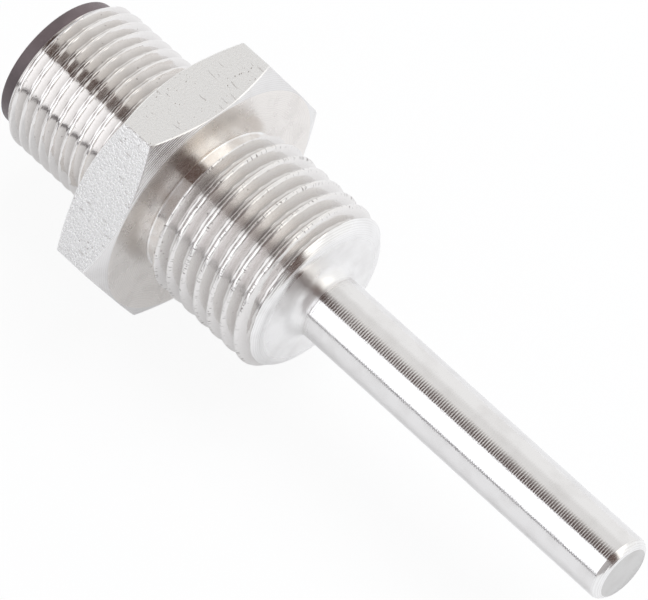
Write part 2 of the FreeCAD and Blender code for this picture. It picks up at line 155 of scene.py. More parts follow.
class SensorThreadSizes(bpy.types.PropertyGroup):
    """Form of the two screw threads."""

    sleeve_pitch: length("Connector pitch", "Pitch of the M12 thread", 1.0 * MM)
    sleeve_depth: length("Connector depth", "Depth of the M12 thread", 0.6 * MM)
    sleeve_root: ratio("Connector root", "Part of the half pitch that the M12 root takes", 0.135)
    sleeve_flank: ratio("Connector flank", "Part of the half pitch where the M12 crest starts", 0.85)
    sleeve_round: ratio("Connector rounding", "Rounding of the M12 crests and roots", 0.045)
    sleeve_phase: ratio("Connector phase", "Turn of the M12 thread's start", 0.185)
    boss_pitch: length("Process pitch", "Pitch of the G1/4 thread", 1.337 * MM)
    boss_depth: length("Process depth", "Depth of the G1/4 thread", 0.82 * MM)
    boss_round: ratio("Process rounding", "Rounding of the G1/4 crests and roots", 0.12)
    boss_phase: ratio("Process phase", "Turn of the G1/4 thread's start", 0.369)
    boss_root: ratio("Process root", "Part of the half pitch that the G1/4 root takes", 0.165)
    boss_flank: ratio("Process flank", "Part of the half pitch where the G1/4 crest starts", 0.84)
    nick: length("Nicks", "Depth of nicks and burrs on the crests", 0.008 * MM)


class SensorPlugSizes(bpy.types.PropertyGroup):
    """Sizes of the plug insert and its pins."""

    rim_radius: length("Rim radius", "Rim of the insert", 5.25 * MM)
    rim_round: length("Rim edge", "Rounded edges of the rim", 0.15 * MM)
    liner_radius: length("Liner radius", "Insert inside the sleeve", 4.87 * MM)
    socket_radius: length("Socket radius", "Socket of the insert", 4.3 * MM)
    socket_depth: length("Socket depth", "Rim to socket floor", 8.0 * MM)
    key_width: length("Key width", "Coding key", 1.3 * MM)
    key_height: length("Key height", "Coding key inwards from the socket wall", 0.6 * MM)
    key_setback: length("Key setback", "Coding key behind the rim", 0.8 * MM)
    pin_circle: length("Pin circle", "Radius of the pin circle", 3.5 * MM)
    pin_radius: length("Pin radius", "Contact pin", 0.5 * MM)
    pin_nose: length("Pin nose", "Rounded nose of a pin", 0.45 * MM)


class SensorFinishes(bpy.types.PropertyGroup):
    """Colours of the finishes and spacing of their marks."""

    steel: colour("Steel", "Turned stainless steel", (0.80, 0.79, 0.785))
    thread_steel: colour("Thread steel", "Steel of the threads", (0.84, 0.823, 0.81))
    drawn_steel: colour("Drawn steel", "Steel of the flats", (0.79, 0.785, 0.78))
    # Painted shade: the hexagon's faces get a darker, warmer copy of the faced steel.
    shaded_shoulder_steel: colour("Shoulder steel", "Steel of the hexagon's faces", (0.87, 0.84, 0.81))
    faced_steel: colour("Faced steel", "Steel of the boss face", (0.91, 0.905, 0.90))
    # The reliefs get random patches of this darker, warmer steel: a tone that varies at random, and painted
    # shade in these grooves.
    shaded_neck_steel: colour("Neck steel", "Darker patches of the reliefs", (0.80, 0.765, 0.735))
    # Painted shade: the tip's end face gets a darker steel than the stem.
    shaded_tip_steel: colour("Tip steel", "Steel of the tip's end face", (0.65, 0.645, 0.635))
    nick: colour("Nicks", "Tone of the nicks and pits in the threads", (0.2, 0.175, 0.165))
    # Tone of marks and pits, also used for the painted shade in the thread roots and the ring lines.
    dull_and_shade_steel: colour("Dull steel", "Marks and pits in the steel", (0.46, 0.435, 0.42))
    plastic: colour("Insert", "Black plastic of the insert", (0.094, 0.071, 0.076))
    gold: colour("Gold", "Plated contact pins", (0.83, 0.60, 0.24))
    feed: length("Feed", "Feed of the turning marks on the stem", 0.2 * MM)
    rings: length("Rings", "Pitch of the turning marks on chamfers", 0.125 * MM)


class SensorStageSizes(bpy.types.PropertyGroup):
    """Camera and light."""

    camera: vector(
        "Camera",
        "Place of the camera",
        (186.76 * MM, -205.92 * MM, 358.35 * MM),
        subtype="TRANSLATION",
        unit="LENGTH",
    )
    camera_right: direction("Camera right", "Direction to the picture's right", (0.68299, 0.72577, 0.08268))
    camera_back: direction("Camera back", "Direction from object to camera", (0.39101, -0.45887, 0.79787))
    lens: number("Lens", "Focal length for a sensor 36 mm wide", 371.3, min=1, max=1000, unit="CAMERA")
    surround: number("Surround", "White surround in the metal", 1.0, min=0)
    panel: number("Light panel", "Radiance of the light panel", 1.45, min=0)
    sky: number("Fill", "Soft light from all round", 0.6, min=0)
    lamp: number("Lamp", "Power of the soft lamp in watts", 2.8, min=0, unit="POWER")


class Wiring:
    """Adds nodes to a node tree and joins them up."""

    def __init__(self, tree):
        self.tree = tree

    def add(self, kind, inputs=None, **settings):
        """Node of a kind, with settings, and inputs given as values or as sockets to link."""
        node = self.tree.nodes.new(kind)
        for name, setting in settings.items():
            setattr(node, name, setting)
        for key, value in (inputs or {}).items():
            if isinstance(value, bpy.types.NodeSocket):
                self.tree.links.new(value, node.inputs[key])
            elif node.inputs[key].type == "RGBA":
                node.inputs[key].default_value = (*value, 1.0)
            else:
                node.inputs[key].default_value = value
        return node

    def math(self, operation, first, second=0.0, third=0.0):
        """Result of a Math node."""
        inputs = {0: first, 1: second, 2: third}
        return self.add("ShaderNodeMath", inputs, operation=operation).outputs[0]

    def between(self, value, low, high, to_low=0.0, to_high=1.0, smooth=False):
        """Value mapped from one range to another and held there."""
        inputs = {0: value, 1: low, 2: high, 3: to_low, 4: to_high}
        kind = "SMOOTHSTEP" if smooth else "LINEAR"
        return self.add("ShaderNodeMapRange", inputs, interpolation_type=kind).outputs[0]

    def times(self, first, second):
        """Product of two values."""
        return self.math("MULTIPLY", first, second)

    def place(self):
        """Object coordinates, in metres."""
        return self.add("ShaderNodeTexCoord").outputs["Object"]

    def split(self, place):
        """The x, y and z of a place."""
        return self.add("ShaderNodeSeparateXYZ", {0: place}).outputs

    def from_axis(self, across, up):
        """Distance from the X axis."""
        return self.math("SQRT", self.math("MULTIPLY_ADD", up, up, self.times(across, across)))

    def noise(self, place, scale, detail=2.0):
        """Noise at a place, its scale in patches per metre."""
        inputs = {"Vector": place, "Scale": scale, "Detail": detail}
        return self.add("ShaderNodeTexNoise", inputs, noise_dimensions="3D").outputs[0]

    def streaks(self, value, spacing, detail=2.0):
        """Noise along one coordinate, its streaks a spacing apart."""
        inputs = {"W": self.math("DIVIDE", value, spacing), "Scale": 1.0, "Detail": detail}
        return self.add("ShaderNodeTexNoise", inputs, noise_dimensions="1D").outputs[0]

    def specks(self, place, scale, outer, inner, where):
        """Specks, scale to the metre, that fade from an inner to an outer size, times a share."""
        cells = self.add("ShaderNodeTexVoronoi", {"Vector": place, "Scale": scale})
        return self.times(self.between(cells.outputs["Distance"], outer, inner), where)

    def mix(self, share, first, second):
        """Colour mixed from two."""
        inputs = {0: share, 6: first, 7: second}
        return self.add("ShaderNodeMix", inputs, data_type="RGBA").outputs[2]

    def show(self, shader, output="Material Output"):
        """Hand a shader to the output of the tree."""
        self.tree.links.new(shader, self.tree.nodes[output].inputs["Surface"])


def new_finish(name, **sockets):
    """Material, its Principled shader with some sockets set, and its wiring."""
    material = bpy.data.materials.new(name)
    material.use_nodes = True
    net = Wiring(material.node_tree)
    shader = net.tree.nodes["Principled BSDF"]
    for key, value in sockets.items():
        shader.inputs[key.replace("_", " ")].default_value = value
    return material, shader, net


def dress(net, shader, tone, gloss, height, depth, strength=1.0):
    """Link a shader's colour and roughness, and a bump of a depth made from a height."""
    bump = net.add("ShaderNodeBump", {"Height": height, "Strength": strength, "Distance": depth})
    for key, value in (("Base Color", tone), ("Roughness", gloss), ("Normal", bump.outputs[0])):
        net.tree.links.new(value, shader.inputs[key])


def turned_steel(look):
    """Steel of the stem: bright, with fine feed marks round it that are fainter near the boss."""
    material, shader, net = new_finish("turned_steel", Metallic=1.0)
    place = net.place()
    along = net.split(place)[0]
    drift = net.streaks(along, spacing=4 * look.feed, detail=1.0)
    slow = net.streaks(along, spacing=9 * look.feed, detail=1.0)
    turns = net.math("MULTIPLY_ADD", drift, 2.0, net.times(along, TURN / look.feed))
    patches = net.noise(place, scale=700.0, detail=3.0)
    grain = net.noise(place, scale=9000.0)
    stain = net.between(patches, 0.45, 0.8, 0.0, 0.22)
    gloss = net.between(patches, 0.3, 0.7, 0.10, 0.17)
    tone = net.mix(stain, look.steel, look.dull_and_shade_steel)
    uneven = net.times(net.math("SINE", turns), net.between(slow, 0.3, 0.7, 0.6, 1.15))
    fainter = net.between(along, 12 * MM, 22 * MM, 0.5, 1.0)
    marks = net.times(uneven, fainter)
    height = net.math("MULTIPLY_ADD", grain, 2.0, marks)
    dress(net, shader, tone, gloss, height, depth=0.0022 * MM)
    return material


def threaded_steel(look, name, crest, depth, metal, rough, bump, worn):
    """Steel of a thread: lines along the turns, painted shade that darkens the roots, pits and short nicks
    across the crests.

    A nick shows where its noise passes worn, and metal below one leaves the steel a dull film.
    """
    material, shader, net = new_finish(name, Metallic=metal)
    place = net.place()
    along, across, up = net.split(place)
    radius = net.from_axis(across, up)
    nick_width, nick_length = 0.09 * MM, 0.4 * MM
    round_it = net.times(net.math("ARCTAN2", up, across), crest / nick_width)
    along_it = net.math("DIVIDE", along, nick_length)
    spot = net.add("ShaderNodeCombineXYZ", {0: round_it, 1: along_it}).outputs[0]
    lines = net.streaks(net.math("ADD", along, radius), spacing=0.07 * MM)
    grain = net.noise(place, scale=6500.0, detail=3.0)
    patches = net.noise(place, scale=900.0, detail=3.0)
    on_crest = net.between(radius, crest - 0.2 * MM, crest - 0.1 * MM)
    chance = net.noise(spot, scale=1.0, detail=0.0)
    nicks = net.times(net.between(chance, worn, worn + 0.04), on_crest)
    pitted = net.between(patches, 0.58, 0.64)
    pits = net.specks(place, scale=2300.0, outer=0.18, inner=0.08, where=pitted)
    marks = net.math("MAXIMUM", pits, nicks)
    # Painted shade: the colour darkens towards the roots of the thread, and a random grain darkens it a
    # little more.
    root = net.between(radius, crest - depth, crest - 0.2 * depth, 0.34, 0.0)
    stain = net.math("ADD", root, net.between(grain, 0.5, 0.75, 0.0, 0.1))
    root_shade_and_grain = net.mix(stain, look.thread_steel, look.dull_and_shade_steel)
    tone = net.mix(net.times(marks, 0.8), root_shade_and_grain, look.nick)
    gloss = net.between(patches, 0.35, 0.65, rough, rough + 0.06)
    below_crest = net.between(radius, crest - 0.09 * MM, crest - 0.03 * MM, 1.0, 0.15)
    combed = net.times(net.math("MULTIPLY_ADD", grain, 0.9, lines), below_crest)
    dress(net, shader, tone, gloss, net.math("SUBTRACT", combed, marks), depth=bump)
    return material


def drawn_steel(look):
    """Steel of the hexagon's flats: grainy, with specks and short scratches."""
    material, shader, net = new_finish("drawn_steel", Metallic=1.0)
    place = net.place()
    grain = net.noise(place, scale=6500.0, detail=3.0)
    patches = net.noise(place, scale=420.0)
    pitted = net.between(patches, 0.52, 0.6)
    pits = net.specks(place, scale=3000.0, outer=0.22, inner=0.1, where=pitted)
    drawn_out = {"Vector": place, "Rotation": (0.0, 0.0, 0.5), "Scale": (900.0, 6500.0, 6500.0)}
    stretched = net.add("ShaderNodeMapping", drawn_out).outputs[0]
    scratches = net.between(net.noise(stretched, scale=1.0, detail=0.0), 0.75, 0.8, 0.0, 0.6)
    marks = net.math("MAXIMUM", pits, scratches)
    dirt = net.math("MAXIMUM", marks, net.between(grain, 0.52, 0.8, 0.0, 0.35))
    tone = net.mix(dirt, look.drawn_steel, look.dull_and_shade_steel)
    gloss = net.between(grain, 0.3, 0.7, 0.2, 0.32)
    dress(net, shader, tone, gloss, net.math("SUBTRACT", grain, marks), depth=0.02 * MM)
    return material


def ringed_steel(look, name, base, rough, pitch, wave, lines, streak=0.1, polished=1.0):
    """Steel of faces and chamfers: satin, with even and uneven turning rings about the axis.

    The rings are whole at the hexagon's upper front corner, where their dark lines are painted shade from
    the dark reflection, and elsewhere only a share of them is left.
    """
    material, shader, net = new_finish(name, Metallic=1.0)
    place = net.place()
    across, up = net.split(place)[1:]
    radius = net.from_axis(across, up)
    even = net.math("SINE", net.times(radius, TURN / pitch))
    uneven = net.streaks(radius, spacing=pitch)
    patches = net.noise(place, scale=600.0, detail=3.0)
    grain = net.noise(place, scale=8000.0)
    both = net.math("MULTIPLY_ADD", uneven, lines, net.times(even, wave))
    cut = net.math("MULTIPLY_ADD", uneven, 2.0, even)
    corner_across, corner_up = -0.5, 0.866
    towards = net.math("MULTIPLY_ADD", across, corner_across, net.times(up, corner_up))
    # Painted shade: the dark ring lines, and their bump, are whole only on the upper front side, where the
    # dark reflection falls.
    dark_reflection_side = net.between(net.math("DIVIDE", towards, radius), 0.8, 0.95, polished, 1.0)
    rings = net.times(net.between(cut, 1.2, 0.2, 0.0, streak), dark_reflection_side)
    worn = net.math("ADD", net.between(patches, 0.45, 0.8, 0.0, 0.2), rings)
    tone = net.mix(worn, base, look.dull_and_shade_steel)
    gloss = net.between(patches, 0.3, 0.7, rough, rough + 0.08)
    height = net.math("MULTIPLY_ADD", grain, 1.2, net.times(both, dark_reflection_side))
    dress(net, shader, tone, gloss, height, depth=0.001 * MM)
    return material


def speckled(name, base, other, rough, scale, bump=0.2, **sockets):
    """Moulded, cast or drawn finish: two near tones, uneven gloss and a fine grain."""
    material, shader, net = new_finish(name, **sockets)
    place = net.place()
    patches = net.noise(place, scale, detail=3.0)
    grain = net.noise(place, scale * 6)
    tone = net.mix(net.between(patches, 0.35, 0.68), base, other)
    gloss = net.between(grain, 0.3, 0.7, rough, rough + 0.14)
    dress(net, shader, tone, gloss, grain, depth=0.006 * MM, strength=bump)
    return material


def insert_plastic(plastic):
    """Black plastic of the insert: satin, with a few pale specks."""
    material, shader, net = new_finish("insert_plastic", Specular_IOR_Level=0.5)
    place = net.place()
    patches = net.noise(place, scale=500.0, detail=3.0)
    grain = net.noise(place, scale=6000.0)
    dusted = net.between(patches, 0.5, 0.6)
    dust = net.specks(place, scale=1300.0, outer=0.16, inner=0.08, where=dusted)
    pale = tuple(min(1.0, part * 2.2 + 0.01) for part in plastic)
    tone = net.mix(net.between(patches, 0.3, 0.7, 0.0, 0.4), plastic, pale)
    dusty = net.mix(net.times(dust, 0.7), tone, (0.42, 0.39, 0.38))
    gloss = net.between(grain, 0.3, 0.7, 0.34, 0.5)
    dress(net, shader, dusty, gloss, grain, depth=0.006 * MM, strength=0.25)
    return material


def whole_turn(columns):
    """Angles of the columns of a turned piece."""
    return np.linspace(0, TURN, columns, endpoint=False)


def lathe(name, rows, angles, zones, materials, poles):
    """Closed mesh from rows of (x, radius) per angle, ended by a pole at each end."""
    columns = len(angles)
    cosine, sine = np.cos(angles), np.sin(angles)
    places = [(poles[0], 0.0, 0.0)]
    for along, radius in rows:
        along = np.broadcast_to(along, columns)
        radius = np.broadcast_to(radius, columns)
        places.extend(zip(along, radius * cosine, radius * sine))
    places.append((poles[1], 0.0, 0.0))
    last = len(places) - 1
    faces, indices = [], []
    for column in range(columns):
        beside = (column + 1) % columns
        faces.append((0, 1 + column, 1 + beside))
        indices.append(zones[0])
        base = last - columns
        faces.append((last, base + beside, base + column))
        indices.append(zones[-1])
    for row in range(len(rows) - 1):
        first = 1 + row * columns
        second = first + columns
        for column in range(columns):
            beside = (column + 1) % columns
            faces.append((first + column, second + column, second + beside, first + beside))
            indices.append(zones[row + 1])
    mesh = bpy.data.meshes.new(name)
    mesh.from_pydata([tuple(map(float, place)) for place in places], [], faces)
    for material in materials:
        mesh.materials.append(material)
    mesh.polygons.foreach_set("material_index", indices)
    return mesh


def face_outwards(mesh):
    """Turn a closed mesh right side out and merge what lies in one place."""
    work = bmesh.new()
    work.from_mesh(mesh)
    bmesh.ops.remove_doubles(work, verts=work.verts, dist=1e-8)
    bmesh.ops.recalc_face_normals(work, faces=work.faces)
    if work.calc_volume(signed=True) < 0:
        bmesh.ops.reverse_faces(work, faces=work.faces)
    work.to_mesh(mesh)
    work.free()
    mesh.update()


def new_object(name, data):
    """Object in the scene for a mesh, lamp or camera."""
    made = bpy.data.objects.new(name, data)
    bpy.context.scene.collection.objects.link(made)
    return made


def show_piece(name, mesh, nodes, sharp):
    """Show a mesh as the piece for some solid nodes, edges over an angle kept sharp."""
    mesh.shade_smooth()
    mesh.set_sharp_from_angle(angle=math.radians(sharp))
    piece = new_object(name, mesh)
    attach(piece, "root")
    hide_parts(*nodes)


def new_group(name, sockets):
    """Geometry node group with named inputs, those inputs and its wiring."""
    group = bpy.data.node_groups.new(name, "GeometryNodeTree")
    group.is_modifier = True
    group.interface.new_socket("Geometry", in_out="INPUT", socket_type="NodeSocketGeometry")
    for label, kind in sockets:
        group.interface.new_socket(label, in_out="INPUT", socket_type=kind)
    group.interface.new_socket("Geometry", in_out="OUTPUT", socket_type="NodeSocketGeometry")
    net = Wiring(group)
    return group, net.add("NodeGroupInput").outputs, net


def end_group(net, geometry, selection, material):
    """Finish a group: instances made real and the material set."""
    real = net.add("GeometryNodeRealizeInstances", {0: geometry}).outputs[0]
    inputs = {"Geometry": real, "Material": material}
    if selection is not None:
        inputs["Selection"] = selection
    painted = net.add("GeometryNodeSetMaterial", inputs).outputs[0]
    net.add("NodeGroupOutput", {0: painted})


def add_tree(piece, group, values):
    """Modifier that runs a group, its inputs set by their sockets' identifiers."""
    modifier = piece.modifiers.new(group.name, "NODES")
    modifier.node_group = group
    for item in group.interface.items_tree:
        if item.in_out == "INPUT" and item.name in values:
            modifier[item.identifier] = values[item.name]


def applied(piece):
    """Plain mesh of a piece with its modifiers carried out; the piece goes."""
    bpy.context.view_layer.update()
    depsgraph = bpy.context.evaluated_depsgraph_get()
    mesh = bpy.data.meshes.new_from_object(piece.evaluated_get(depsgraph), depsgraph=depsgraph)
    bpy.data.objects.remove(piece)
    return mesh


def thread_group():
    """Group that cuts a right-hand screw thread into a turned surface about the X axis."""
    floats = ("Pitch", "Depth", "Round", "Crest Radius", "Phase", "From", "To", "Root", "Flank", "Nick")
    sockets = [(label, "NodeSocketFloat") for label in floats] + [("Material", "NodeSocketMaterial")]
    group, given, net = new_group("screw_thread", sockets)
    place = net.add("GeometryNodeInputPosition").outputs[0]
    along, across, up = net.split(place)
    radius = net.from_axis(across, up)
    turn = net.math("DIVIDE", net.math("ARCTAN2", up, across), TURN)
    lead = net.math("SUBTRACT", net.math("DIVIDE", along, given["Pitch"]), turn)
    phase = net.math("FRACT", net.math("ADD", lead, given["Phase"]))
    from_root = net.math("ABSOLUTE", net.math("MULTIPLY_ADD", phase, 2.0, -1.0))
    rise = net.math("SUBTRACT", given["Flank"], given["Root"])
    flank = net.math("DIVIDE", net.math("SUBTRACT", from_root, given["Root"]), rise)
    capped = net.math("SMOOTH_MIN", flank, 1.0, given["Round"])
    height = net.math("SMOOTH_MAX", capped, 0.0, given["Round"])
    cut = net.times(net.math("SUBTRACT", 1.0, height), given["Depth"])
    burrs = net.noise(place, scale=1900.0, detail=3.0)
    nicks = net.times(net.between(burrs, 0.5, 0.72), given["Nick"])
    wanted = net.math("SUBTRACT", given["Crest Radius"], net.math("ADD", cut, nicks))
    after = net.math("GREATER_THAN", along, given["From"])
    before = net.math("LESS_THAN", along, given["To"])
    bore_share, margin = 0.83, 0.02 * MM
    outside = net.math("GREATER_THAN", radius, net.times(given["Crest Radius"], bore_share))
    threaded = net.times(net.times(after, before), outside)
    lowered = net.math("MINIMUM", radius, wanted)
    share = net.math("DIVIDE", lowered, net.math("MAXIMUM", radius, 1e-6))
    sides = {0: along, 1: net.times(across, share), 2: net.times(up, share)}
    moved = net.add("ShaderNodeCombineXYZ", sides).outputs[0]
    inputs = {"Geometry": given["Geometry"], "Selection": threaded, "Position": moved}
    shaped = net.add("GeometryNodeSetPosition", inputs).outputs[0]
    cut_here = net.math("GREATER_THAN", radius, net.math("SUBTRACT", wanted, margin))
    end_group(net, shaped, net.times(threaded, cut_here), given["Material"])
    return group


def cut_thread(piece, group, kind, crest, ends, material):
    """Modifier that cuts the thread of the sleeve or the boss between two places on X."""
    threads = bpy.context.scene.sensor_threads
    values = {"Crest Radius": crest, "From": ends[0], "To": ends[1], "Material": material}
    values["Nick"] = threads.nick
    for label in ("Pitch", "Depth", "Round", "Phase", "Root", "Flank"):
        values[label] = getattr(threads, "%s_%s" % (kind, label.lower()))
    add_tree(piece, group, values)


def hex_rows(sizes, angles):
    """Rows of the hexagon from its back face to its front face, one place per angle."""
    half = sizes.across_flats / 2
    slope = math.tan(sizes.hex_slope)
    corner = half / math.cos(math.pi / 6) - 0.6 * sizes.edge
    sector = np.mod(angles, math.pi / 3) - math.pi / 6
    reach = np.minimum(half / np.cos(sector), corner)
    inner = half - sizes.hex_inset
    drop = (reach - inner) * slope
    edge = np.minimum(sizes.edge, 0.3 * drop)
    rows = []
    for share in (0.02, 0.3, 0.65):
        rows.append((drop * share, inner + (reach - inner) * share))
    rows.append((drop - edge * math.sin(sizes.hex_slope), reach - edge * math.cos(sizes.hex_slope)))
    rows.append((drop + edge, reach))
    back = [(-sizes.hex_length + depth, radius) for depth, radius in rows]
    front = [(-depth, radius) for depth, radius in reversed(rows)]
    low, high = back[-1][0], front[0][0]
    flat = [(low + (high - low) * step / 5, reach) for step in range(1, 5)]
    return back + flat + front, len(back) - 1, len(back) + len(flat)


def spread(start, end, count):
    """Points from one profile point to another, without the first."""
    steps = np.linspace(0.0, 1.0, count + 1)[1:]
    return [(start[0] + (end[0] - start[0]) * s, start[1] + (end[1] - start[1]) * s) for s in steps]


def arc(centre, radius, start, end, count):
    """Points on an arc of a profile, angles from the axis direction."""
    turns = np.linspace(start, end, count + 1)
    return [(centre[0] + radius * math.cos(t), centre[1] + radius * math.sin(t)) for t in turns]


def body_mesh(sizes, threads, finishes):
    """Turned body before its threads are cut, with the hexagon's edges on its rows."""
    sector = np.concatenate(([0.0, 0.25], np.linspace(0.25, 59.75, 30)[1:-1], [59.75]))
    angles = np.radians(np.concatenate([sector + 60 * side for side in range(6)]))
    rows, zones = [], [TURNED]

    def add(points, zone):
        """Rows of one zone; a zone index belongs to the faces that end at each row."""
        for point in points:
            rows.append(point)
            zones.append(zone)

    edge = sizes.edge
    stem = sizes.stem_radius
    bore_end = TIP - sizes.tip_wall
    relief = sizes.sleeve_radius - sizes.sleeve_relief_depth
    relief_from = -sizes.hex_length - sizes.sleeve_relief
    run_out = relief_from - sizes.sleeve_relief_run
    add([(bore_end, 0.4 * sizes.stem_bore), (bore_end, sizes.stem_bore)], TURNED)
    add([(sizes.sleeve_bore_floor, sizes.stem_bore), (sizes.sleeve_bore_floor, sizes.sleeve_bore)], TURNED)
    add([(SLEEVE_END + edge, sizes.sleeve_bore), (SLEEVE_END, sizes.sleeve_bore + edge)], TURNED)
    lip = sizes.sleeve_radius - sizes.sleeve_chamfer
    add([(SLEEVE_END, lip - edge)], FACED)
    chamfer = (SLEEVE_END + 0.7 * edge, lip + 0.7 * edge)
    crest = (SLEEVE_END + sizes.sleeve_chamfer, sizes.sleeve_radius)
    add([chamfer] + spread(chamfer, crest, count=10), FACED)
    run = (run_out, sizes.sleeve_radius)
    turns = (run_out - crest[0]) / threads.sleeve_pitch
    add(spread(crest, run, int(turns * ROWS_PER_SLEEVE_TURN)), TURNED)
    neck = (relief_from, relief)
    add(spread(run, neck, count=8) + [(-sizes.hex_length, relief)], NECK)

    inner = sizes.across_flats / 2 - sizes.hex_inset
    add(spread((-sizes.hex_length, relief), (-sizes.hex_length, inner - edge), count=3), SHOULDER)
    hexagon, flat_from, flat_to = hex_rows(sizes, angles)
    for index, row in enumerate(hexagon):
        broken = index in (flat_from, flat_to + 1)
        add([row], DRAWN if flat_from < index <= flat_to else FACED if broken else CHAMFERED)
    process_neck = sizes.boss_radius - sizes.boss_relief_depth
    add([(0.0, inner - edge)], SHOULDER)
    corner = sizes.neck_fillet
    add(spread((0.0, inner - edge), (0.0, process_neck + corner), count=4), SHOULDER)
    add(arc((corner, process_neck + corner), corner, math.pi, 1.5 * math.pi, count=6)[1:], NECK)
    add([(sizes.boss_relief, process_neck)], NECK)
    start = (sizes.boss_relief + sizes.boss_relief_run, sizes.boss_radius)
    add(spread((sizes.boss_relief, process_neck), start, count=10), NECK)
    end = (sizes.boss_length - sizes.boss_chamfer, sizes.boss_radius)
    turns = (end[0] - start[0]) / threads.boss_pitch
    add(spread(start, end, int(turns * ROWS_PER_BOSS_TURN)), TURNED)
    small = sizes.boss_radius - sizes.boss_chamfer
    bend = sizes.boss_round * math.tan(math.pi / 8)
    cos_45 = 0.7071
    slant = cos_45 * bend
    slanted = (sizes.boss_length - slant, small + slant)
    add(spread(end, slanted, count=12), BOSS_EDGE)
    hub = (sizes.boss_length - sizes.boss_round, small - bend)
    add(arc(hub, sizes.boss_round, math.pi / 4, 0.0, count=8)[1:], BOSS_EDGE)
    root = stem + sizes.root_fillet
    add(spread((sizes.boss_length, small - bend), (sizes.boss_length, root), count=3), FACED)
    centre = (sizes.boss_length + sizes.root_fillet, root)
    add(arc(centre, sizes.root_fillet, math.pi, 1.5 * math.pi, count=10)[1:], FACED)
    foot = (centre[0], stem)
    brink = (TIP - sizes.tip_round, stem)
    last_row = (brink[0] - 0.05 * MM, stem)
    add(spread(foot, last_row, count=10) + [brink], TURNED)
    flat = stem - sizes.tip_round
    for share in np.linspace(0.0, 1.0, num=7)[1:]:
        bulge = 0.45 * sizes.tip_round * share * (1 - share)
        step = sizes.tip_round * share
        add([(brink[0] + step + bulge, stem - step + bulge)], BOSS_EDGE)
    add([(TIP, 0.6 * flat), (TIP, 0.2 * flat)], TIP_FACE)
    zones.append(TIP_FACE)
    return lathe("sensor_body_turned", rows, angles, zones[:1] + zones[2:], finishes, (bore_end, TIP))


class SENSOR_OT_body(bpy.types.Operator):
    """Build the turned stainless body with both screw threads"""

    bl_idname = "sensor.build_body"
    bl_label = "Body"

    def finishes(self, sizes, threads, look):
        """Finishes in the order of the zone numbers."""
        sleeve = dict(depth=threads.sleeve_depth, metal=1.0, rough=0.07, bump=0.0016 * MM, worn=0.82)
        boss = dict(depth=threads.boss_depth, metal=0.88, rough=0.15, bump=0.0022 * MM, worn=0.69)
        shoulder = dict(rough=0.22, pitch=0.14 * MM, wave=0.3, lines=4.0, streak=0.14)
        faced = dict(rough=0.27, pitch=0.06 * MM, wave=0.0, lines=5.0, streak=0.07)
        chamfer = dict(rough=0.18, pitch=look.rings, wave=2.5, lines=4.0, streak=0.85, polished=0.15)
        neck = dict(rough=0.05, scale=900.0, bump=0.3, Metallic=1.0)
        tip = dict(rough=0.3, pitch=0.09 * MM, wave=0.8, lines=6.0)
        boss_edge = dict(rough=0.16, pitch=look.rings, wave=1.2, lines=2.5, streak=0.14)
        return [
            turned_steel(look),
            threaded_steel(look, "connector_thread_steel", sizes.sleeve_radius, **sleeve),
            threaded_steel(look, "process_thread_steel", sizes.boss_radius, **boss),
            drawn_steel(look),
            ringed_steel(look, "shaded_shoulder_steel", look.shaded_shoulder_steel, **shoulder),
            ringed_steel(look, "faced_steel", look.faced_steel, **faced),
            ringed_steel(look, "chamfer_steel", look.steel, **chamfer),
            speckled("shaded_neck_steel", look.faced_steel, look.shaded_neck_steel, **neck),
            ringed_steel(look, "shaded_tip_steel", look.shaded_tip_steel, **tip),
            ringed_steel(look, "boss_edge_steel", look.faced_steel, **boss_edge),
        ]

    def execute(self, context):
        sizes = context.scene.sensor_body
        threads = context.scene.sensor_threads
        finishes = self.finishes(sizes, threads, context.scene.sensor_finishes)
        mesh = body_mesh(sizes, threads, finishes)
        face_outwards(mesh)
        work = new_object("body_before_threads", mesh)
        group = thread_group()
        lip, gap, boss_lip = 0.1 * MM, 0.01 * MM, 0.2 * MM
        ends = (SLEEVE_END + lip, -sizes.hex_length - sizes.sleeve_relief - gap)
        cut_thread(work, group, "sleeve", sizes.sleeve_radius, ends, finishes[SLEEVE_THREAD])
        ends = (sizes.boss_relief + gap, sizes.boss_length - boss_lip)
        cut_thread(work, group, "boss", sizes.boss_radius, ends, finishes[BOSS_THREAD])
        threaded = applied(work)
        threaded.name = "threaded_body"
        show_piece("threaded_body", threaded, ["sensor_body"], sharp=28)
        return {"FINISHED"}


def add_bar(mesh, low, high, turn):
    """Add a bar with broken edges to a mesh, from its box corners, turned about the X axis."""
    work = bmesh.new()
    work.from_mesh(mesh)
    size = Vector(high) - Vector(low)
    middle = (Vector(high) + Vector(low)) / 2
    place = Matrix.Rotation(turn, 4, "X") @ Matrix.Translation(middle) @ Matrix.Diagonal((*size, 1.0))
    made = bmesh.ops.create_cube(work, size=1.0, matrix=place)
    edges = list({edge for vert in made["verts"] for edge in vert.link_edges})
    bmesh.ops.bevel(work, geom=edges, offset=0.1 * MM, segments=2, affect="EDGES")
    work.to_mesh(mesh)
    work.free()


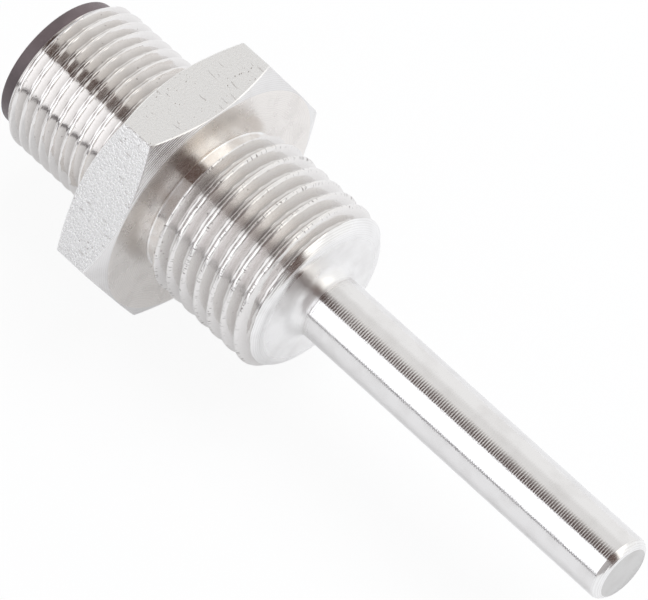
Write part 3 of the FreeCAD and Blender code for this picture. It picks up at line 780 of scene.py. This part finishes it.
class SENSOR_OT_insert(bpy.types.Operator):
    """Build the black plug insert with its rim, socket and coding key"""

    bl_idname = "sensor.build_insert"
    bl_label = "Plug insert"

    def execute(self, context):
        sizes = context.scene.sensor_plug
        soft = sizes.rim_round
        floor = RIM_FRONT + sizes.socket_depth
        angles = whole_turn(columns=144)
        rows = [(floor, 0.5 * sizes.socket_radius), (floor, sizes.socket_radius - soft)]
        rows += arc((floor - soft, sizes.socket_radius - soft), soft, 0.0, 0.5 * math.pi, 4)[1:]
        rows += arc((RIM_FRONT + soft, sizes.socket_radius + soft), soft, 1.5 * math.pi, math.pi, 4)
        rows += arc((RIM_FRONT + soft, sizes.rim_radius - soft), soft, math.pi, 0.5 * math.pi, 5)
        edge = 0.1 * soft
        rows += [(SLEEVE_END - edge, sizes.rim_radius), (SLEEVE_END, sizes.rim_radius - edge)]
        rows += [(SLEEVE_END, sizes.liner_radius), (CARRIER_REAR, sizes.liner_radius)]
        rows += [(CARRIER_REAR, 0.5 * sizes.liner_radius)]
        zones = [0] * (len(rows) + 1)
        plastic = insert_plastic(context.scene.sensor_finishes.plastic)
        mesh = lathe("plug_insert", rows, angles, zones, [plastic], (floor, CARRIER_REAR))
        face_outwards(mesh)
        top = sizes.socket_radius - sizes.key_height
        half = sizes.key_width / 2
        into_floor, into_wall = 0.2 * MM, 0.25 * MM
        low = (RIM_FRONT + sizes.key_setback, -half, top)
        high = (floor + into_floor, half, sizes.socket_radius + into_wall)
        add_bar(mesh, low, high, turn=math.radians(-45))
        show_piece("plug_insert", mesh, ["contact_carrier"], sharp=35)
        return {"FINISHED"}


def pins_group():
    """Group that repeats one pin about the X axis."""
    sockets = [("Count", "NodeSocketInt"), ("Circle", "NodeSocketFloat"), ("Material", "NodeSocketMaterial")]
    group, given, net = new_group("pin_circle", sockets)
    points = net.add("GeometryNodePoints", {"Count": given["Count"]}).outputs[0]
    index = net.add("GeometryNodeInputIndex").outputs[0]
    turn = net.times(net.math("DIVIDE", index, given["Count"]), TURN)
    across = net.times(net.math("COSINE", turn), given["Circle"])
    up = net.times(net.math("SINE", turn), given["Circle"])
    place = net.add("ShaderNodeCombineXYZ", {1: across, 2: up}).outputs[0]
    placed = net.add("GeometryNodeSetPosition", {"Geometry": points, "Position": place}).outputs[0]
    inputs = {"Points": placed, "Instance": given["Geometry"]}
    copies = net.add("GeometryNodeInstanceOnPoints", inputs).outputs[0]
    end_group(net, copies, None, given["Material"])
    return group


class SENSOR_OT_pins(bpy.types.Operator):
    """Build the four plated contact pins"""

    bl_idname = "sensor.build_pins"
    bl_label = "Contact pins"

    def execute(self, context):
        sizes = context.scene.sensor_plug
        look = context.scene.sensor_finishes
        front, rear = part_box(PIN_NAMES[0])[0][0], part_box(PIN_NAMES[0])[1][0]
        angles = whole_turn(columns=48)
        rows = []
        for turn in np.linspace(0.12, 0.5 * math.pi, 8):
            along = front + sizes.pin_nose * (1 - math.cos(turn))
            rows.append((along, sizes.pin_radius * math.sin(turn)))
        edge = 0.05 * MM
        rows += [(rear - edge, sizes.pin_radius), (rear, sizes.pin_radius - edge)]
        dark = tuple(0.8 * part for part in look.gold)
        plate = speckled("gold_plate", look.gold, dark, rough=0.16, scale=900.0, bump=0.03, Metallic=1.0)
        mesh = lathe("contact_pin", rows, angles, [0] * (len(rows) + 1), [plate], (front, rear))
        face_outwards(mesh)
        work = new_object("one_pin", mesh)
        values = {"Count": len(PIN_NAMES), "Circle": sizes.pin_circle, "Material": plate}
        add_tree(work, pins_group(), values)
        show_piece("contact_pins", applied(work), PIN_NAMES, sharp=35)
        return {"FINISHED"}


class SENSOR_OT_inside(bpy.types.Operator):
    """Give the sealed parts inside the body their finishes"""

    bl_idname = "sensor.dress_inside"
    bl_label = "Sealed parts"

    def execute(self, context):
        finishes = {}
        for family, (name, base, other, rough, scale, metal) in SEALED.items():
            finishes[family] = speckled(name, base, other, rough, scale, Metallic=metal)
        shown = set(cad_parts) - {"sensor_body", "contact_carrier", *PIN_NAMES}
        for name in sorted(shown):
            family = name.rstrip("0123456789").rstrip("_")
            if family == "lead_wire":
                family = "red" if name in ("lead_wire_1", "lead_wire_2") else "white"
            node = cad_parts[name]
            node.data.materials.clear()
            node.data.materials.append(finishes[family])
        return {"FINISHED"}


def flat_sheet(name, corners, material):
    """Flat four-cornered sheet of the stage."""
    mesh = bpy.data.meshes.new(name)
    mesh.from_pydata(corners, [], [(0, 1, 2, 3)])
    mesh.materials.append(material)
    sheet = new_object(name, mesh)
    return sheet


def add_card(name, corners, paint, strength=1.0):
    """Card that only the metal sees; paint gives its tone along X and across."""
    material, shader, net = new_finish(name)
    net.tree.nodes.remove(shader)
    along, across = net.split(net.place())[:2]
    tone = paint(net, along, across)
    net.show(net.add("ShaderNodeEmission", {"Color": tone, "Strength": strength}).outputs[0])
    card = flat_sheet(name, corners, material)
    card.visible_camera = False
    card.visible_diffuse = False
    card.visible_shadow = False


def seen_directly(net, camera=1.0, mirror=1.0):
    """Shares for rays from the camera and from a mirror or a glass, else nought."""
    path = net.add("ShaderNodeLightPath").outputs
    reflected = net.math("MAXIMUM", path["Is Glossy Ray"], path["Is Transmission Ray"])
    direct = net.times(path["Is Camera Ray"], camera)
    return net.math("MAXIMUM", direct, net.times(reflected, mirror))


def add_floor():
    """Pale floor that keeps a faint shadow."""
    material, shader, net = new_finish("pale_floor", Base_Color=(0.9, 0.91, 0.94, 1.0), Roughness=0.9)
    glow = net.add("ShaderNodeEmission", {"Color": WHITE})
    share = seen_directly(net, camera=0.92, mirror=0.4)
    both = net.add("ShaderNodeMixShader", {0: share, 1: shader.outputs[0], 2: glow.outputs[0]})
    net.show(both.outputs[0])
    reach = 0.6
    corners = [(-reach, FLOOR_EDGE), (reach, FLOOR_EDGE), (reach, reach), (-reach, reach)]
    flat_sheet("floor", [(*corner, FLOOR_HEIGHT) for corner in corners], material)


def add_world(stage):
    """White surround: plain soft light on the object, white to the camera and in reflections."""
    world = bpy.data.worlds.new("studio")
    world.use_nodes = True
    net = Wiring(world.node_tree)
    fill = net.tree.nodes["Background"]
    fill.inputs["Color"].default_value = (*WHITE, 1.0)
    fill.inputs["Strength"].default_value = stage.sky
    white = net.add("ShaderNodeBackground", {"Color": WHITE, "Strength": stage.surround})
    inputs = {0: seen_directly(net), 1: fill.outputs[0], 2: white.outputs[0]}
    net.show(net.add("ShaderNodeMixShader", inputs).outputs[0], "World Output")
    bpy.context.scene.world = world


def overhead_tone(net, along, across):
    """Tones overhead. Each slope of the metal looks at its own lean, x over the distance from the axis."""
    apart = net.math("SQRT", net.math("MULTIPLY_ADD", across, across, CARD_HEIGHT ** 2))
    lean = net.math("DIVIDE", along, apart)
    ramp = net.add("ShaderNodeValToRGB", {0: net.between(across, CARD_NEAR, 0.08)})
    stops = ramp.color_ramp.elements
    stops[0].color = (0.095, 0.065, 0.06, 1.0)
    stops[1].color = (0.86, 0.855, 0.85, 1.0)
    for position, tone in (
        (0.36, (0.12, 0.088, 0.084)),
        (0.56, (0.18, 0.148, 0.142)),
        (0.72, (0.32, 0.295, 0.285)),
        (0.86, (0.60, 0.585, 0.57)),
    ):
        stops.new(position).color = (*tone, 1.0)
    steep = net.between(lean, -0.74, -0.8)
    beside = net.mix(steep, (0.89, 0.865, 0.835), (1.5, 1.46, 1.4))
    brown = net.mix(steep, DARK_CORE, (0.37, 0.30, 0.275))
    crisp = net.between(across, -0.13, -0.06, smooth=True)
    soft = net.between(across, -0.26, 0.0, smooth=True)
    fade = net.math("MULTIPLY_ADD", steep, net.math("SUBTRACT", soft, crisp), crisp)
    rear = net.mix(fade, brown, beside)
    gap = net.times(net.between(lean, -0.4035, -0.4075), net.between(across, 0.2, 0.12))
    middle = net.mix(gap, ramp.outputs[0], (0.9, 0.885, 0.875))
    to_middle = net.between(lean, -0.56, -0.53)
    far_side = net.between(across, 0.35, CARD_FAR)
    paler = net.mix(far_side, net.mix(to_middle, rear, middle), WHITE)
    slanted = net.math("MULTIPLY_ADD", along, -0.15, across)
    front = net.mix(net.between(slanted, -0.07, 0.02, smooth=True), DARK_CORE, GLARE)
    to_front = net.between(lean, -0.1, 0.2, smooth=True)
    return net.mix(to_front, paler, front)


def fading(axis, low, high, first, second, smooth=False):
    """Painter of a card whose tone fades between two places on an axis."""

    def paint(net, *places):
        """Tone of the card."""
        return net.mix(net.between(places[axis], low, high, smooth=smooth), first, second)

    return paint


def add_cards(stage):
    """Cards overhead, beyond the tip and at the near side, and a dark strip at the floor's front edge that
    paints a dark line into the metal's reflection.
    """
    near, far, high = CARD_NEAR, CARD_FAR, CARD_HEIGHT
    left, right = -0.9, 1.6
    overhead = [(left, near, high), (left, far, high), (right, far, high), (right, near, high)]
    add_card("overhead_card", overhead, overhead_tone)
    beyond = [(right, near, 0.0), (right, far, 0.0), (right, far, high), (right, near, high)]
    add_card("far_card", beyond, fading(ACROSS, 0.22, 0.42, DARK_CORE, GLARE, smooth=True))
    upper, lower = (-0.38, 0.6), (-1.0, 0.02)
    panel_left, seam_top, seam_foot = -1.8, -0.03, -0.06
    panel = [(panel_left, *upper), (seam_top, *upper), (seam_foot, *lower), (panel_left, *lower)]
    white = fading(ALONG, -0.59, -0.53, (0.54, 0.505, 0.51), (1.0, 1.012, 1.04))
    add_card("bright_panel", panel, white, stage.panel)
    grey = [(seam_top, *upper), (right, *upper), (right, *lower), (seam_foot, *lower)]
    add_card("grey_card", grey, fading(ALONG, 0.3, 0.9, (0.52, 0.495, 0.495), (0.4, 0.38, 0.385)))
    # Painted reflection: this dark strip stands at the floor's front edge, and only the metal sees it.
    start, end, top = -0.6, 0.066, 0.004
    places = [(start, FLOOR_HEIGHT), (end, FLOOR_HEIGHT), (end, top), (start, top)]
    edge = [(along, FLOOR_EDGE, up) for along, up in places]
    add_card("dark_reflection_strip", edge, lambda net, *places: (0.25, 0.24, 0.25))


def add_lamp(stage):
    """Soft lamp overhead, which the metal doesn't mirror."""
    data = bpy.data.lights.new("soft_lamp", "AREA")
    data.energy = stage.lamp
    data.size = 0.5
    lamp = new_object("soft_lamp", data)
    lamp.location = (0.12, 0.3, 0.6)
    lamp.visible_glossy = False


class SENSOR_OT_stage(bpy.types.Operator):
    """Set up the floor, the light and the camera"""

    bl_idname = "sensor.set_stage"
    bl_label = "Stage"

    def execute(self, context):
        stage = context.scene.sensor_stage
        add_floor()
        add_world(stage)
        add_cards(stage)
        add_lamp(stage)
        right, back = Vector(stage.camera_right), Vector(stage.camera_back)
        up = back.cross(right)
        data = bpy.data.cameras.new("camera")
        data.sensor_fit = "HORIZONTAL"
        data.sensor_width = 36.0
        data.lens = stage.lens
        data.clip_start = 0.01
        data.clip_end = 20.0
        camera = new_object("camera", data)
        turn = Matrix((right, up, back)).transposed().to_4x4()
        camera.matrix_world = Matrix.Translation(Vector(stage.camera)) @ turn
        context.scene.camera = camera
        context.scene.view_settings.view_transform = "Standard"
        return {"FINISHED"}


class SENSOR_PT_panel(bpy.types.Panel):
    """Sizes and build steps of the sensor"""

    bl_label = "Process temperature sensor"
    bl_idname = "SENSOR_PT_panel"
    bl_space_type = "VIEW_3D"
    bl_region_type = "UI"
    bl_category = "Sensor"

    def draw(self, context):
        layout = self.layout
        for operator in OPERATORS:
            layout.operator(operator.bl_idname)
        for name, group in GROUPS.items():
            box = layout.box()
            for key in group.__annotations__:
                box.prop(getattr(context.scene, name), key)


GROUPS = {
    "sensor_body": SensorBodySizes,
    "sensor_threads": SensorThreadSizes,
    "sensor_plug": SensorPlugSizes,
    "sensor_finishes": SensorFinishes,
    "sensor_stage": SensorStageSizes,
}
OPERATORS = (SENSOR_OT_body, SENSOR_OT_insert, SENSOR_OT_pins, SENSOR_OT_inside, SENSOR_OT_stage)
CLASSES = (*GROUPS.values(), *OPERATORS, SENSOR_PT_panel)


def register():
    """Register the classes and hang the property groups on the scene."""
    for item in CLASSES:
        bpy.utils.register_class(item)
    for name, group in GROUPS.items():
        setattr(bpy.types.Scene, name, bpy.props.PointerProperty(type=group))


def unregister():
    """Take the property groups off the scene and unregister the classes."""
    for name in GROUPS:
        delattr(bpy.types.Scene, name)
    for item in reversed(CLASSES):
        bpy.utils.unregister_class(item)


def main():
    """Build every piece and the stage."""
    register()
    bpy.ops.sensor.build_body()
    bpy.ops.sensor.build_insert()
    bpy.ops.sensor.build_pins()
    bpy.ops.sensor.dress_inside()
    bpy.ops.sensor.set_stage()
    bpy.context.view_layer.update()


if __name__ == "__main__":
    main()
